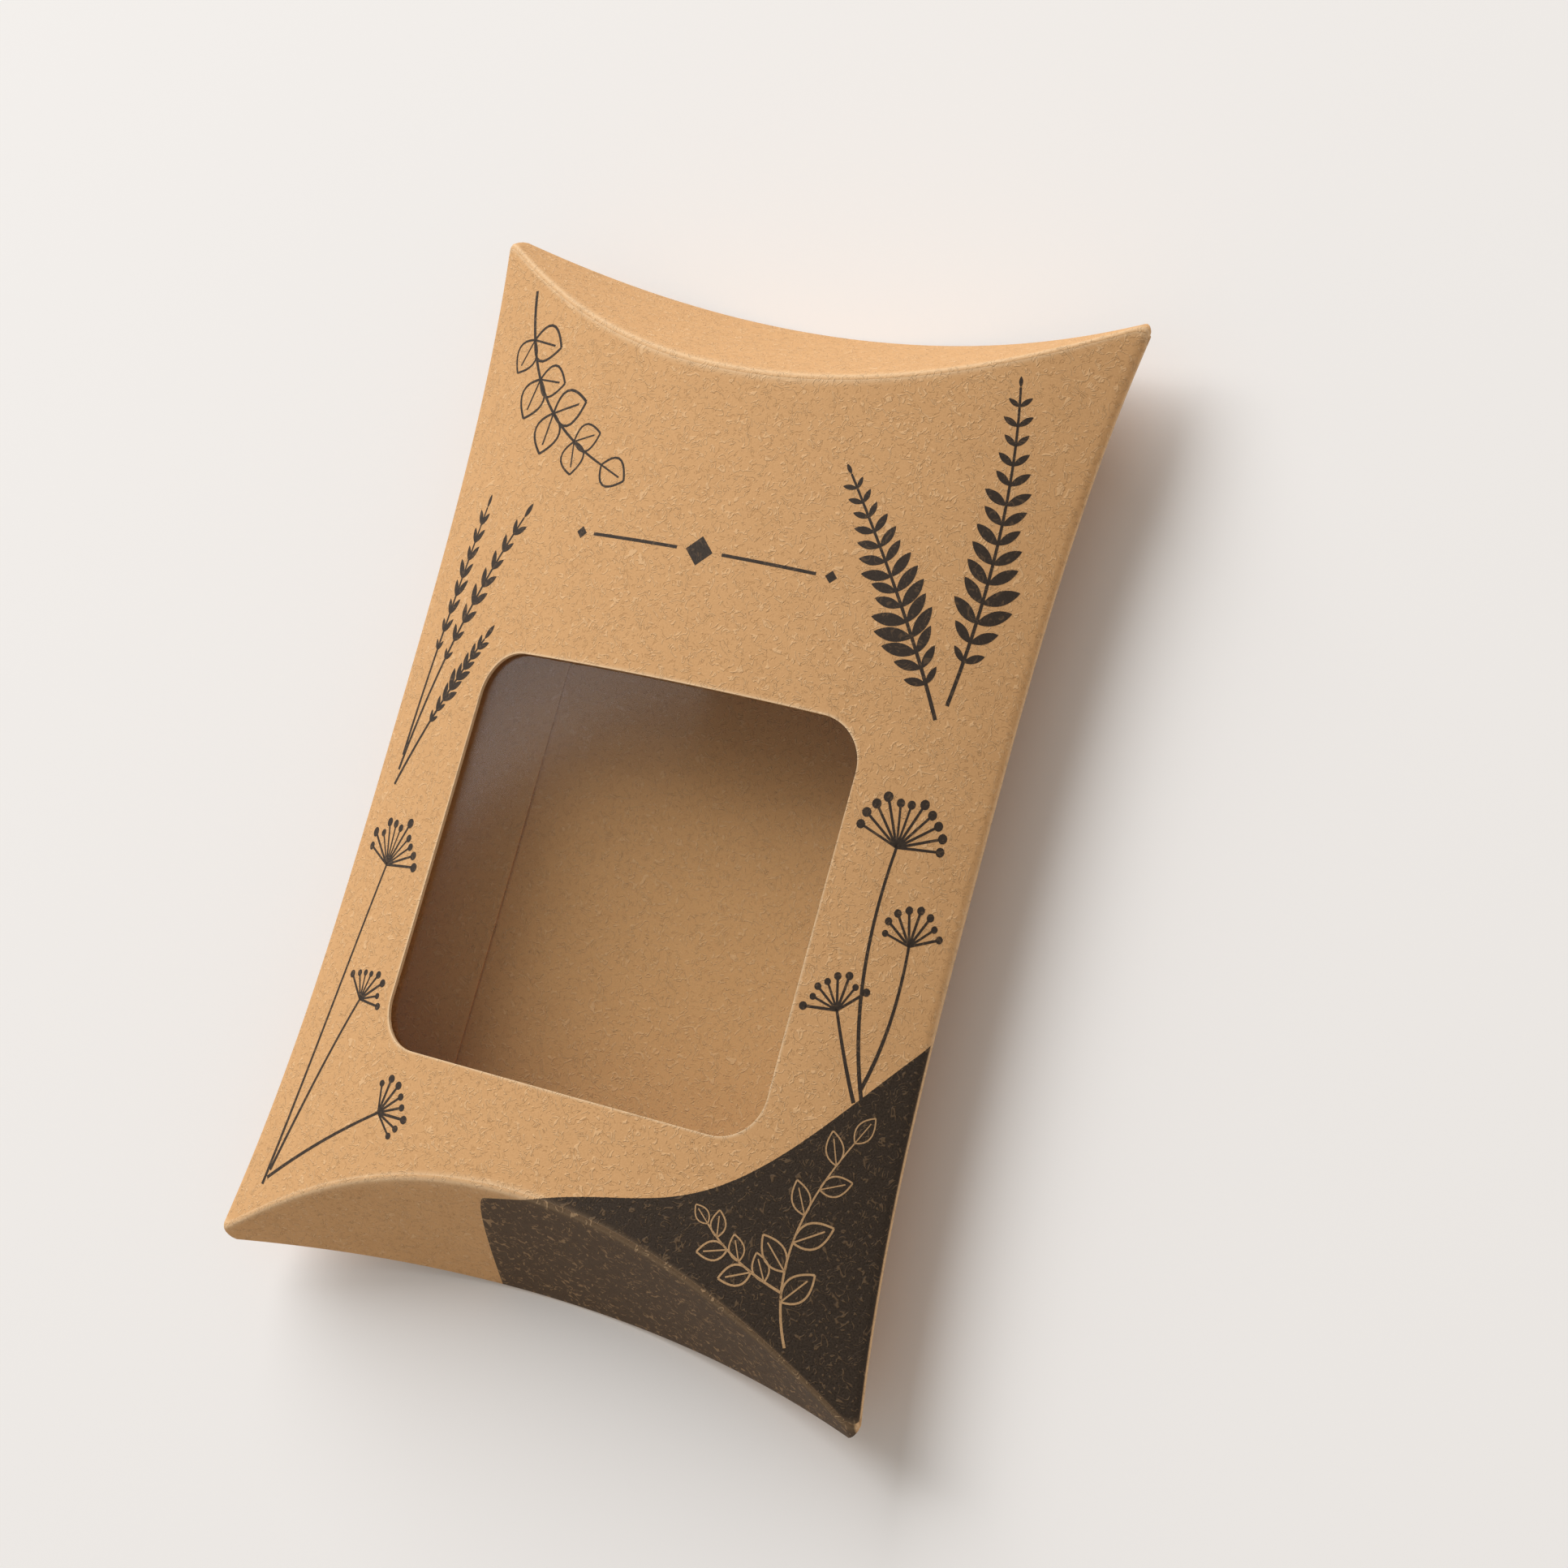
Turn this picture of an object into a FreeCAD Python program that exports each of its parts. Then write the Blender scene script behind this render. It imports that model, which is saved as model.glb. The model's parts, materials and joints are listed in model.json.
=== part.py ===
import FreeCAD, Part
import math
import os

# A pillow box lying on its back panel: x across its width, y along its length, z up out of the
# window panel. Two bowed panels meet at the two long side folds, and each end is closed by an
# outer flap, folded in from the front panel, over a shorter inner flap from the back panel.
# Every sheet is a slice of a cylinder: one roller for each panel, and one for each hollow end.

doc = FreeCAD.newDocument("PillowBox")

# Driving dimensions in millimetres and degrees
sizes = doc.addObject("Spreadsheet::Sheet", "Sizes")
driving_dimensions = [
    ("box_length", 138.5),
    ("box_width", 93.2),
    ("panel_rise", 10.5),
    ("end_dip", 11.1),
    ("end_lean", 29.8),
    ("corner_trim", 0.8),
    ("board", 0.45),
    ("fold_gap", 0.6),
    ("flap_gap", 0.2),
    ("edge_gap", 0.4),
    ("inner_flap_drop", 0.6),
    ("window_width", 53.0),
    ("window_length", 52.0),
    ("window_shift", 13.6),
    ("window_corner", 6.0),
    ("film", 0.15),
    ("film_margin", 5.5),
    ("film_corner", 3.0),
    ("glue", 0.06),
    ("glue_inset", 1.2),
    ("seat_gap", 0.06),
    ("tab_width", 22.1),
    ("tab_end_gap", 2.5),
    ("overrun", 2.0),
]
for row, (alias, value) in enumerate(driving_dimensions, start=1):
    sizes.set(f"A{row}", alias)
    sizes.set(f"B{row}", str(value))
    sizes.setAlias(f"B{row}", alias)
doc.recompute()


def bind(thing, **expressions):
    """Tie properties of a document object to the sheet; two underscores stand for a dot."""
    for name, expression in expressions.items():
        thing.setExpression(name.replace("__", "."), expression)
    return thing


# Sizes that follow from the driving dimensions
half_width = "(Sizes.box_width / 2)"
panel_radius = f"(({half_width}^2 + Sizes.panel_rise^2) / (2 * Sizes.panel_rise))"
lean_cos = "cos(Sizes.end_lean * 1deg)"
lean_sin = "sin(Sizes.end_lean * 1deg)"
end_dip_square = f"(Sizes.end_dip * {lean_cos})"
end_radius = f"(({half_width}^2 + {end_dip_square}^2) / (2 * {end_dip_square}))"
half_span = "(Sizes.box_length / 2 + Sizes.corner_trim)"
end_roller_height = "(4 * Sizes.panel_rise + 2 * Sizes.overrun)"
inner_flap_depth = "(Sizes.board + Sizes.flap_gap)"
glue_outer = "Sizes.board + Sizes.seat_gap"
glue_inner = f"{glue_outer} + Sizes.glue"
held_outer = f"{glue_inner} + Sizes.seat_gap"


def panel_roller(name, side, depth="0"):
    """The cylinder under one panel's outer face, or deeper by depth; side +1 is the front."""
    roller = doc.addObject("Part::Cylinder", name)
    roller.Placement.Rotation = FreeCAD.Rotation(FreeCAD.Vector(1, 0, 0), -90)
    centre = panel_radius if side < 0 else f"2 * Sizes.panel_rise - {panel_radius}"
    return bind(
        roller,
        Radius=f"{panel_radius} - ({depth})",
        Height="Sizes.box_length",
        Placement__Base__y="-Sizes.box_length / 2",
        Placement__Base__z=centre,
    )


def end_roller(name, end, depth="0"):
    """The leaning cylinder that hollows one end, wider by depth; end +1 is the top end."""
    roller = doc.addObject("Part::Cylinder", name)
    # The sign of end picks the way the roller leans, and the sheet then sets how far
    roller.Placement.Rotation = FreeCAD.Rotation(FreeCAD.Vector(end, 0, 0), sizes.end_lean)
    half_height = f"({end_roller_height} / 2)"
    out = f"({end_radius} * {lean_cos} + {half_height} * {lean_sin})"
    up = f"({end_radius} * {lean_sin} - {half_height} * {lean_cos})"
    return bind(
        roller,
        Radius=f"{end_radius} + ({depth})",
        Height=end_roller_height,
        Placement__Rotation__Angle="Sizes.end_lean * 1deg",
        Placement__Base__y=f"{end} * ({half_span} - Sizes.end_dip + {out})",
        Placement__Base__z=f"Sizes.panel_rise + {up}",
    )


def cut(name, base, tool):
    """What is left of base outside tool."""
    result = doc.addObject("Part::Cut", name)
    result.Base = base
    result.Tool = tool
    return result


def common(name, *pieces):
    """What all the pieces share."""
    result = doc.addObject("Part::MultiCommon", name)
    result.Shapes = list(pieces)
    return result


def fuse(name, *pieces):
    """All the pieces as one tool."""
    result = doc.addObject("Part::MultiFuse", name)
    result.Shapes = list(pieces)
    return result


def block(name, low, high):
    """A box between two corners, each given as three expressions."""
    box = doc.addObject("Part::Box", name)
    for axis, side, start, stop in zip("xyz", ("Length", "Width", "Height"), low, high):
        box.setExpression(f"Placement.Base.{axis}", start)
        box.setExpression(side, f"({stop}) - ({start})")
    return box


def window_block(name, grow, corner):
    """A block through the front panel over the window, grown by grow, with rounded corners."""
    across = f"(Sizes.window_width / 2 + {grow})"
    along = f"(Sizes.window_length / 2 + {grow})"
    low = (f"-{across}", f"-Sizes.window_shift - {along}", "Sizes.panel_rise")
    high = (across, f"{along} - Sizes.window_shift", "2 * Sizes.panel_rise + Sizes.overrun")
    plain = block(f"{name}_plain", low, high)
    doc.recompute()
    upright = [
        number
        for number, edge in enumerate(plain.Shape.Edges, start=1)
        if edge.BoundBox.ZLength > edge.BoundBox.XLength + edge.BoundBox.YLength
    ]
    rounded = doc.addObject("Part::Fillet", name)
    rounded.Base = plain
    rounded.Edges = [(number, corner, corner) for number in upright]
    return rounded


def end_pair(name, depth="0"):
    """The rollers of both ends as one cutting tool."""
    return fuse(name, end_roller(f"{name}_top", 1, depth), end_roller(f"{name}_bottom", -1, depth))


def panel_sheet(name, side, outer, inner):
    """A bowed sheet under one panel's face, between two depths."""
    outside = panel_roller(f"{name}_outside", side, outer)
    inside = panel_roller(f"{name}_inside", side, inner)
    return cut(name, outside, inside)


def end_sheet(name, end, outer, inner):
    """A hollow sheet across one end, between two depths."""
    outside = end_roller(f"{name}_outside", end, outer)
    inside = end_roller(f"{name}_inside", end, inner)
    return cut(name, inside, outside)


wide = f"({half_width} + Sizes.overrun)"
long = "(Sizes.box_length / 2 + Sizes.overrun)"
top_level = "(2 * Sizes.panel_rise + Sizes.overrun)"
sub_parts = []


def sub_part(shape, node):
    """Name a finished piece after its node and keep it for writing."""
    shape.Label = node
    sub_parts.append(shape)
    return shape


# Front panel: the window side of the blank, bowed outwards, with a rounded window cut through
upper_half = block("upper_half", (f"-{wide}", f"-{long}", "Sizes.panel_rise"), (wide, long, top_level))
front_sheet = common("front_sheet", panel_sheet("front_skin", 1, "0", "Sizes.board"), upper_half)
front_trimmed = cut("front_trimmed", front_sheet, end_pair("front_ends"))
window_opening = window_block("window_opening", "0", sizes.window_corner)
sub_part(cut("front_panel_cut", front_trimmed, window_opening), "front_panel")

# Back panel: the plain side, set in at each end so that the outer flaps close over its edge
lower_half = block("lower_half", (f"-{wide}", f"-{long}", "-Sizes.overrun"), (wide, long, "Sizes.panel_rise"))
back_sheet = common("back_sheet", panel_sheet("back_skin", -1, "0", "Sizes.board"), lower_half)
sub_part(cut("back_panel_cut", back_sheet, end_pair("back_ends", inner_flap_depth)), "back_panel")

# Seam tab: the strip of the blank folded in at the left fold and glued inside the back panel
tab_inner = f"{held_outer} + Sizes.board"
tab_depth = f"{inner_flap_depth} + Sizes.board + Sizes.tab_end_gap"
tab_ends = end_pair("tab_ends", tab_depth)
tab_edge = f"Sizes.tab_width - {half_width}"
tab_strip = block("tab_strip", (f"-{wide}", f"-{long}", "-Sizes.overrun"), (tab_edge, long, top_level))
tab_roof = panel_roller("tab_roof", 1, glue_outer)
tab_sheet = common("tab_sheet", panel_sheet("tab_skin", -1, held_outer, tab_inner), tab_strip, tab_roof)
sub_part(cut("seam_tab_cut", tab_sheet, tab_ends), "seam_tab")

# Seam glue: the thin line of adhesive between the tab and the back panel
glue_edge = f"Sizes.tab_width - Sizes.glue_inset - {half_width}"
glue_low = (f"-{wide}", f"-{long}", "-Sizes.overrun")
glue_strip = block("glue_strip", glue_low, (glue_edge, long, "Sizes.panel_rise"))
glue_sheet = common(
    "glue_sheet",
    panel_sheet("glue_skin", -1, glue_outer, glue_inner),
    glue_strip,
    panel_roller("glue_roof", 1, "Sizes.board + Sizes.glue_inset"),
)
glue_ends = end_pair("glue_ends", f"{tab_depth} + Sizes.glue_inset")
sub_part(cut("seam_glue_cut", glue_sheet, glue_ends), "seam_glue")

# Window glue: the frame of adhesive round the window, inside the front panel
glue_block = window_block("glue_block", "Sizes.film_margin - Sizes.glue_inset", sizes.film_corner)
glue_hole = window_block("glue_hole", "Sizes.glue_inset", sizes.window_corner)
window_glue_sheet = panel_sheet("window_glue_sheet", 1, glue_outer, glue_inner)
window_glue_pad = common("window_glue_pad", window_glue_sheet, glue_block)
sub_part(cut("window_glue_cut", window_glue_pad, glue_hole), "window_glue")

# Window film: the clear sheet behind the window, bowed with the panel that it is glued to
film_block = window_block("film_block", "Sizes.film_margin", sizes.film_corner)
film_sheet = panel_sheet("film_sheet", 1, held_outer, f"{held_outer} + Sizes.film")
sub_part(common("window_film_cut", film_sheet, film_block), "window_film")

# End flaps: at each end an outer flap under the front fold, over an inner flap on the back fold
flap_roof_depth = "Sizes.board + Sizes.fold_gap"
inner_flap_top = "Sizes.panel_rise - Sizes.inner_flap_drop"
for end, place in ((1, "top"), (-1, "bottom")):
    outer_sheet = end_sheet(f"{place}_outer_sheet", end, "0", "Sizes.board")
    outer_roof = panel_roller(f"{place}_outer_roof", 1, flap_roof_depth)
    outer_floor = panel_roller(f"{place}_outer_floor", -1, "Sizes.edge_gap")
    outer_flap = common(f"{place}_outer_flap_cut", outer_sheet, outer_roof, outer_floor)
    sub_part(outer_flap, f"{place}_outer_flap")

    inner_sheet = end_sheet(
        f"{place}_inner_sheet", end, inner_flap_depth, f"{inner_flap_depth} + Sizes.board"
    )
    inner_floor = panel_roller(f"{place}_inner_floor", -1, flap_roof_depth)
    inner_reach = block(
        f"{place}_inner_reach", (f"-{wide}", f"-{long}", "-Sizes.overrun"), (wide, long, inner_flap_top)
    )
    inner_flap = common(f"{place}_inner_flap_cut", inner_sheet, inner_floor, inner_reach)
    sub_part(inner_flap, f"{place}_inner_flap")

doc.recompute()

# Every object has to be sound before anything is written
for thing in doc.Objects:
    if "Invalid" in thing.State or "Error" in thing.State:
        raise RuntimeError(f"{thing.Name} failed: {thing.State}")
for piece in sub_parts:
    if piece.Shape.isNull() or not piece.Shape.isValid() or len(piece.Shape.Solids) != 1:
        raise RuntimeError(f"{piece.Label} is not one sound solid")

os.makedirs("parts", exist_ok=True)
for piece in sub_parts:
    piece.Shape.exportStep(f"parts/{piece.Label}.step")
    print(f"{piece.Label}: {piece.Shape.Volume:.1f} mm3")

# Hinge lines of the flaps, along x through the middle of each end's two folds
lean = math.radians(sizes.end_lean)
middle = sizes.box_length / 2 + sizes.corner_trim - sizes.end_dip
front_fold = middle - sizes.panel_rise * math.tan(lean)
back_fold = middle + sizes.panel_rise * math.tan(lean) - (sizes.board + sizes.flap_gap) / math.cos(lean)
print(f"front fold at y {front_fold:.3f}, z {2 * sizes.panel_rise:.3f}; back fold at y {back_fold:.3f}, z 0")
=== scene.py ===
import json
import math

import bpy
from mathutils import Matrix, Vector


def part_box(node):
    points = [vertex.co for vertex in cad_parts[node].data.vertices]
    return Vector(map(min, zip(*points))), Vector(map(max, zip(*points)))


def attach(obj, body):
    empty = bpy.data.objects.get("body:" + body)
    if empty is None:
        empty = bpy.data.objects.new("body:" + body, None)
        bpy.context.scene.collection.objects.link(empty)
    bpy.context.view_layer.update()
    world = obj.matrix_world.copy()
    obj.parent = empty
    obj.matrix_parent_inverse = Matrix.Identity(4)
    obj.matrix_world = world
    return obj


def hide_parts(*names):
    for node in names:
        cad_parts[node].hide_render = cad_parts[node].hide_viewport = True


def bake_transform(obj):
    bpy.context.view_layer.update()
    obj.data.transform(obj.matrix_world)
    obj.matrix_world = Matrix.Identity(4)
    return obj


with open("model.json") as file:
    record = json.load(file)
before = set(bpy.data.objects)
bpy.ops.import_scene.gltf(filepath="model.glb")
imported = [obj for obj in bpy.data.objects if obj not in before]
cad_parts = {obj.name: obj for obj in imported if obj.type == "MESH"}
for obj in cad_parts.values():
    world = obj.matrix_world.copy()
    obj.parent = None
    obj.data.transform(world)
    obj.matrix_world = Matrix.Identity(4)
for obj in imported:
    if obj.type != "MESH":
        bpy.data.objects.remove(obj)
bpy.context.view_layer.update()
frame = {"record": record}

# Front panel: the window side of one die-cut sheet of brown kraft board, 0.45 mm thick.
# It springs into a bow between two long folds, ends at two curved creases, and has a
# rounded window punched through it. The creases hold the bow, and nothing else does.
mm = 0.001
right_angle = math.radians(90)
board = 0.45 * mm
panel_low, panel_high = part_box("front_panel")
half_width = panel_high[0]
half_length = panel_high[1]
corner_level = panel_low[2]
panel_rise = panel_high[2] - panel_low[2]
joints = {joint["name"]: joint for joint in frame["record"]["behaviour"]["joints"]}
front_fold = joints["top_outer_crease"]["pos_m"][1]

# The creases aim at corners a little past the trimmed ones, and the bow draws the long sides in at a waist
corner_trim = 0.8 * mm
half_span = half_length + corner_trim
fold_radius = 1.2 * mm
waist = 4.1 * mm
tip_radius = 1.5 * mm

# A closed end flap leans out from upright, and its bend takes up at most a share of a narrow tip
end_lean = math.radians(29.8)
end_turn = right_angle - end_lean
bend_radius = 1.1 * mm
bend_share = 0.3

window_centre = -13.6 * mm
window_half_width = 27.8 * mm
window_half_length = 26.0 * mm
window_corner = 6.0 * mm

# Cut edges are softened, and the folds and the window's rim are rubbed pale for a short way: a pale band
# that is partly wear and partly a painted highlight
edge_round = 0.10 * mm
edge_segments = 2
edge_angle = math.radians(60)
crisp_angle = math.radians(40)
wear_highlight_reach = 1.1 * mm
rim_highlight_reach = 0.40 * mm
rim_wear_and_highlight = 1.3
outline_count = 96
ring_count = 40

# The bow is one large arc, and a small arc turns it into the side fold at right angles
bow_radius = (half_width**2 - 2 * half_width * fold_radius + panel_rise**2) / (
    2 * (panel_rise - fold_radius)
)
fold_angle = math.atan2(half_width - fold_radius, bow_radius - panel_rise)
fold_start = bow_radius * math.sin(fold_angle)
flat_half_width = fold_start + fold_radius * (right_angle - fold_angle)


class Wire:
    """One socket of a node tree. Sums and products of wires add Math nodes to that tree."""

    def __init__(self, tree, socket=None):
        self.tree = tree
        self.socket = socket

    def node(self, kind, inputs=None, output=0, **settings):
        """Add any node: its settings first, then the values or wires of its sockets."""
        made = self.tree.nodes.new(kind)
        stops = settings.pop("stops", None)
        for name, value in settings.items():
            setattr(made, name, value)
        if stops:
            for element, (position, colour) in zip(made.color_ramp.elements, stops):
                element.position = position
                element.color = (*colour, 1.0)
        for key, values in (inputs or {}).items():
            for value in values if isinstance(values, list) else [values]:
                if isinstance(value, Wire):
                    self.tree.links.new(value.socket, made.inputs[key])
                else:
                    made.inputs[key].default_value = value
        return Wire(self.tree, made.outputs[output])

    def out(self, name):
        """Another output of the node that this wire comes from."""
        return Wire(self.tree, self.socket.node.outputs[name])

    def math(self, operation, *values):
        return self.node("ShaderNodeMath", dict(enumerate(values)), operation=operation)

    def ranged(self, start, stop, **settings):
        """This value as a share of the way from start to stop, kept between 0 and 1."""
        return self.node("ShaderNodeMapRange", {0: self, 1: start, 2: stop}, **settings)

    def mixed(self, other, share):
        """This colour with a share of another mixed in."""
        return self.node("ShaderNodeMix", {0: share, 6: self, 7: other}, output=2, data_type="RGBA")

    def mottled(self, scale, detail=3.0, curl=0.0):
        """Soft uneven patches over the places on this wire, as many as scale to a unit of length."""
        look = {"Scale": scale, "Detail": detail, "Distortion": curl}
        return self.node("ShaderNodeTexNoise", {"Vector": self, **look})

    def __add__(self, other):
        return self.math("ADD", self, other)

    def __sub__(self, other):
        return self.math("SUBTRACT", self, other)

    def __rsub__(self, other):
        return self.math("SUBTRACT", other, self)

    def __mul__(self, other):
        return self.math("MULTIPLY", self, other)

    def __truediv__(self, other):
        return self.math("DIVIDE", self, other)

    def __abs__(self):
        return self.math("ABSOLUTE", self)

    __radd__ = __add__
    __rmul__ = __mul__


socket_kinds = {
    float: "NodeSocketFloat",
    int: "NodeSocketInt",
    bool: "NodeSocketBool",
    tuple: "NodeSocketVector",
}


def shape_tree(name, **sizes):
    """A Geometry Nodes tree with named inputs; gives the tree and the wires of its inputs."""
    tree = bpy.data.node_groups.new(name, "GeometryNodeTree")
    tree.is_modifier = True
    tree.interface.new_socket("Geometry", in_out="INPUT", socket_type="NodeSocketGeometry")
    tree.interface.new_socket("Geometry", in_out="OUTPUT", socket_type="NodeSocketGeometry")
    for title, value in sizes.items():
        socket = tree.interface.new_socket(title, in_out="INPUT", socket_type=socket_kinds[type(value)])
        socket.default_value = value
    tree.interface.new_socket("finish", in_out="INPUT", socket_type="NodeSocketMaterial")
    entry = tree.nodes.new("NodeGroupInput")
    wires = {socket.name: Wire(tree, socket) for socket in entry.outputs if socket.name}
    return tree, wires


def close_tree(tree, geometry, finish):
    """Realize the instances, set the finish and end the tree."""
    plain = geometry.node("GeometryNodeRealizeInstances", {0: geometry})
    done = plain.node("GeometryNodeSetMaterial", {"Geometry": plain, "Material": finish})
    leave = tree.nodes.new("NodeGroupOutput")
    tree.links.new(done.socket, leave.inputs[0])


def make_bow_tree():
    """Bend a flat sheet over one panel: x across the sheet, y along it, z its height above it."""
    tree, wires = shape_tree(
        "bow_over_panel",
        half_width=half_width,
        rise=panel_rise,
        fold_radius=fold_radius,
        corner_level=corner_level,
        side=1.0,
    )
    wide, rise, tight = wires["half_width"], wires["rise"], wires["fold_radius"]
    radius = (wide * wide - 2 * wide * tight + rise * rise) / (2 * (rise - tight))
    turn = wide.math("ARCTAN2", wide - tight, radius - rise)
    start = radius * turn.math("SINE", turn)
    flat = wide.node("ShaderNodeSeparateXYZ", {0: wide.node("GeometryNodeInputPosition")})
    across, along, height = flat.out("X"), flat.out("Y"), flat.out("Z")
    reach = abs(across)
    arc = across.math("ARCSINE", across.math("MINIMUM", reach, start) / radius)
    past = arc + across.math("MAXIMUM", reach - start, 0.0) / tight
    sine, cosine = arc.math("SINE", arc), arc.math("COSINE", arc)
    out = (radius + height) * sine + (tight + height) * (past.math("SINE", past) - sine)
    up = (radius + height) * cosine + (tight + height) * (past.math("COSINE", past) - cosine)
    level = wires["corner_level"] + wires["side"] * (up - radius + rise)
    place = across.node(
        "ShaderNodeCombineXYZ", {0: out * across.math("SIGN", across), 1: along, 2: level}
    )
    bent = place.node("GeometryNodeSetPosition", {"Geometry": wires["Geometry"], "Position": place})
    close_tree(tree, bent, wires["finish"])
    return tree


def make_waist_tree():
    """Draw the long sides in towards the middle of the length, as the spring of the bow does."""
    tree, wires = shape_tree(
        "draw_in_sides", half_width=half_width, half_length=half_length, waist=waist
    )
    spot = wires["waist"].node("GeometryNodeInputPosition")
    parts = spot.node("ShaderNodeSeparateXYZ", {0: spot})
    across, along, level = parts.out("X"), parts.out("Y"), parts.out("Z")
    side_share = across / wires["half_width"]
    end_share = along / wires["half_length"]
    pull = wires["waist"] / wires["half_width"] * (1 - abs(end_share * end_share * end_share))
    drawn = across * (1 - pull * side_share * side_share)
    place = spot.node("ShaderNodeCombineXYZ", {0: drawn, 1: along, 2: level})
    moved = place.node("GeometryNodeSetPosition", {"Geometry": wires["Geometry"], "Position": place})
    close_tree(tree, moved, wires["finish"])
    return tree


bow_tree = make_bow_tree()
waist_tree = make_waist_tree()

# Kraft, in patches to the millimetre. Each kind of fibre has a shift in the noise, a scale, and the
# level above which it is kept; a fibre is the middle of a band of the noise, chopped short.
pulp_scale, grain_scale = 0.22, 4.5
pulp_share = 0.25
tone_low, tone_high = 0.3, 0.7
light_fibres = (3.7, 0.52, 0.46)
dark_fibres = (11.3, 0.60, 0.50)
fibre_curl = 1.4
fibre_bands = 5
fibre_edge, fibre_core = 0.19, 0.04
chop_scale, chop_soft = 2.2, 0.08
dark_strength = 0.6
grain_height = 0.15
board_rough, grain_rough = 0.72, 0.12
board_specular = 0.15
# How strongly the folds and the window's rim turn pale, as wear and as a painted highlight
rub_highlight_least, rub_highlight_grain = 0.45, 0.5
light_fibre_colour = (0.84, 0.56, 0.31, 1)
dark_fibre_colour = (0.40, 0.20, 0.075, 1)
rubbed_highlight_colour = (0.82, 0.58, 0.35, 1)

# The ink of a printed ground thins on a rubbed fold, where the painted highlight also lies, and is smoother
# than the board
ground_deep, ground_pale = (0.028, 0.019, 0.012), (0.062, 0.043, 0.030)
ground_tone_high = 0.75
ink_wear_and_highlight = 0.12
ink_smooth = 0.14


def board_fibres(spot, shift, scale, cover):
    """Short curled fibres on the board: bands of noise, chopped into lengths."""
    moved = spot.node("ShaderNodeMapping", {"Vector": spot, "Location": (shift, -shift, shift)})
    field = moved.mottled(scale, detail=1.0, curl=fibre_curl)
    level = field.math("FRACT", field * fibre_bands)
    line = abs(level - 0.5).ranged(fibre_edge, fibre_core, interpolation_type="SMOOTHSTEP")
    chop = moved.mottled(scale * chop_scale, detail=0.0)
    return line * chop.ranged(cover, cover + chop_soft)


def kraft_board(name, deep, pale, fleck, relief, ink_cover=None, cut=False):
    """Uncoated kraft board between two browns; ink_cover gives the cover of a printed ground, if any."""
    material = bpy.data.materials.new(name)
    material.use_nodes = True
    tree = material.node_tree
    shader = tree.nodes["Principled BSDF"]
    wire = Wire(tree)
    if cut:
        sheet = wire.node("ShaderNodeTexCoord", output="Object")
    else:
        sheet = wire.node("ShaderNodeUVMap", uv_map="blank")
    spot = wire.node("ShaderNodeVectorMath", {0: sheet, 3: 1 / mm}, operation="SCALE")
    pulp, grain = spot.mottled(pulp_scale), spot.mottled(grain_scale)
    light, dark = board_fibres(spot, *light_fibres), board_fibres(spot, *dark_fibres)
    tone = pulp * pulp_share + grain * (1 - pulp_share)
    brown = wire.node("ShaderNodeValToRGB", {0: tone}, stops=((tone_low, deep), (tone_high, pale)))
    flecked = brown.mixed(light_fibre_colour, light * fleck)
    colour = flecked.mixed(dark_fibre_colour, dark * fleck * dark_strength)
    rough = board_rough + grain * grain_rough
    if not cut:
        # Folds and the window's rim are made pale here: wear, and a painted highlight along them
        wear_and_highlight = wire.node("ShaderNodeAttribute", attribute_name="wear_and_highlight", output="Fac")
        colour = colour.mixed(rubbed_highlight_colour, wear_and_highlight * (rub_highlight_least + grain * rub_highlight_grain))
    if ink_cover:
        cover = ink_cover(sheet, light) * (1 - wear_and_highlight * ink_wear_and_highlight)
        stops = ((tone_low, ground_deep), (ground_tone_high, ground_pale))
        colour = colour.mixed(wire.node("ShaderNodeValToRGB", {0: grain}, stops=stops), cover)
        rough = rough - cover * ink_smooth
    height = grain * grain_height + light - dark * dark_strength
    bump = wire.node("ShaderNodeBump", {"Strength": 1.0, "Distance": relief, "Height": height})
    for socket, value in (("Base Color", colour), ("Roughness", rough), ("Normal", bump)):
        tree.links.new(value.socket, shader.inputs[socket])
    shader.inputs["Specular IOR Level"].default_value = board_specular
    return material


# The dark ground's upper edge is a wave on a slope, which climbs to the right and drops off at its left
# end. The edge is a little ragged, and the ink stops just short of the side fold.
ground_depth = 55 * mm
climb_run, climb_start, climb_height = 54 * mm, 0.167, 29 * mm
drop_run, drop_start, drop_height = 3 * mm, 1.8, 10 * mm
wave_run, wave_start, wave_height = 6.2 * mm, 0.6, 1.4 * mm
ragged_scale, ragged_height = 3 / mm, 0.12 * mm
ground_soft = 0.03 * mm
fold_inked = flat_half_width - 0.45 * mm
fold_bare = flat_half_width - 0.2 * mm
ground_fleck = 0.12


def printed_ground(sheet, light):
    """A dark rolling ground over the bottom end of the blank, left bare where fibres stand up."""
    parts = sheet.node("ShaderNodeSeparateXYZ", {0: sheet})
    across, along = parts.out("X"), parts.out("Y")
    rise = across.math("MAXIMUM", across / climb_run + climb_start, 0.0)
    fall = across.math("MAXIMUM", across / -drop_run - drop_start, 0.0)
    wave = across.math("SINE", across / wave_run + wave_start)
    ridge = rise * rise * climb_height - fall * fall * drop_height + wave * wave_height - ground_depth
    edge = ridge - along + (sheet.mottled(ragged_scale, detail=2.0) - 0.5) * ragged_height
    ground = edge.ranged(-ground_soft, ground_soft)
    return ground * abs(across).ranged(fold_bare, fold_inked) * (1 - light * ground_fleck)


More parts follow.
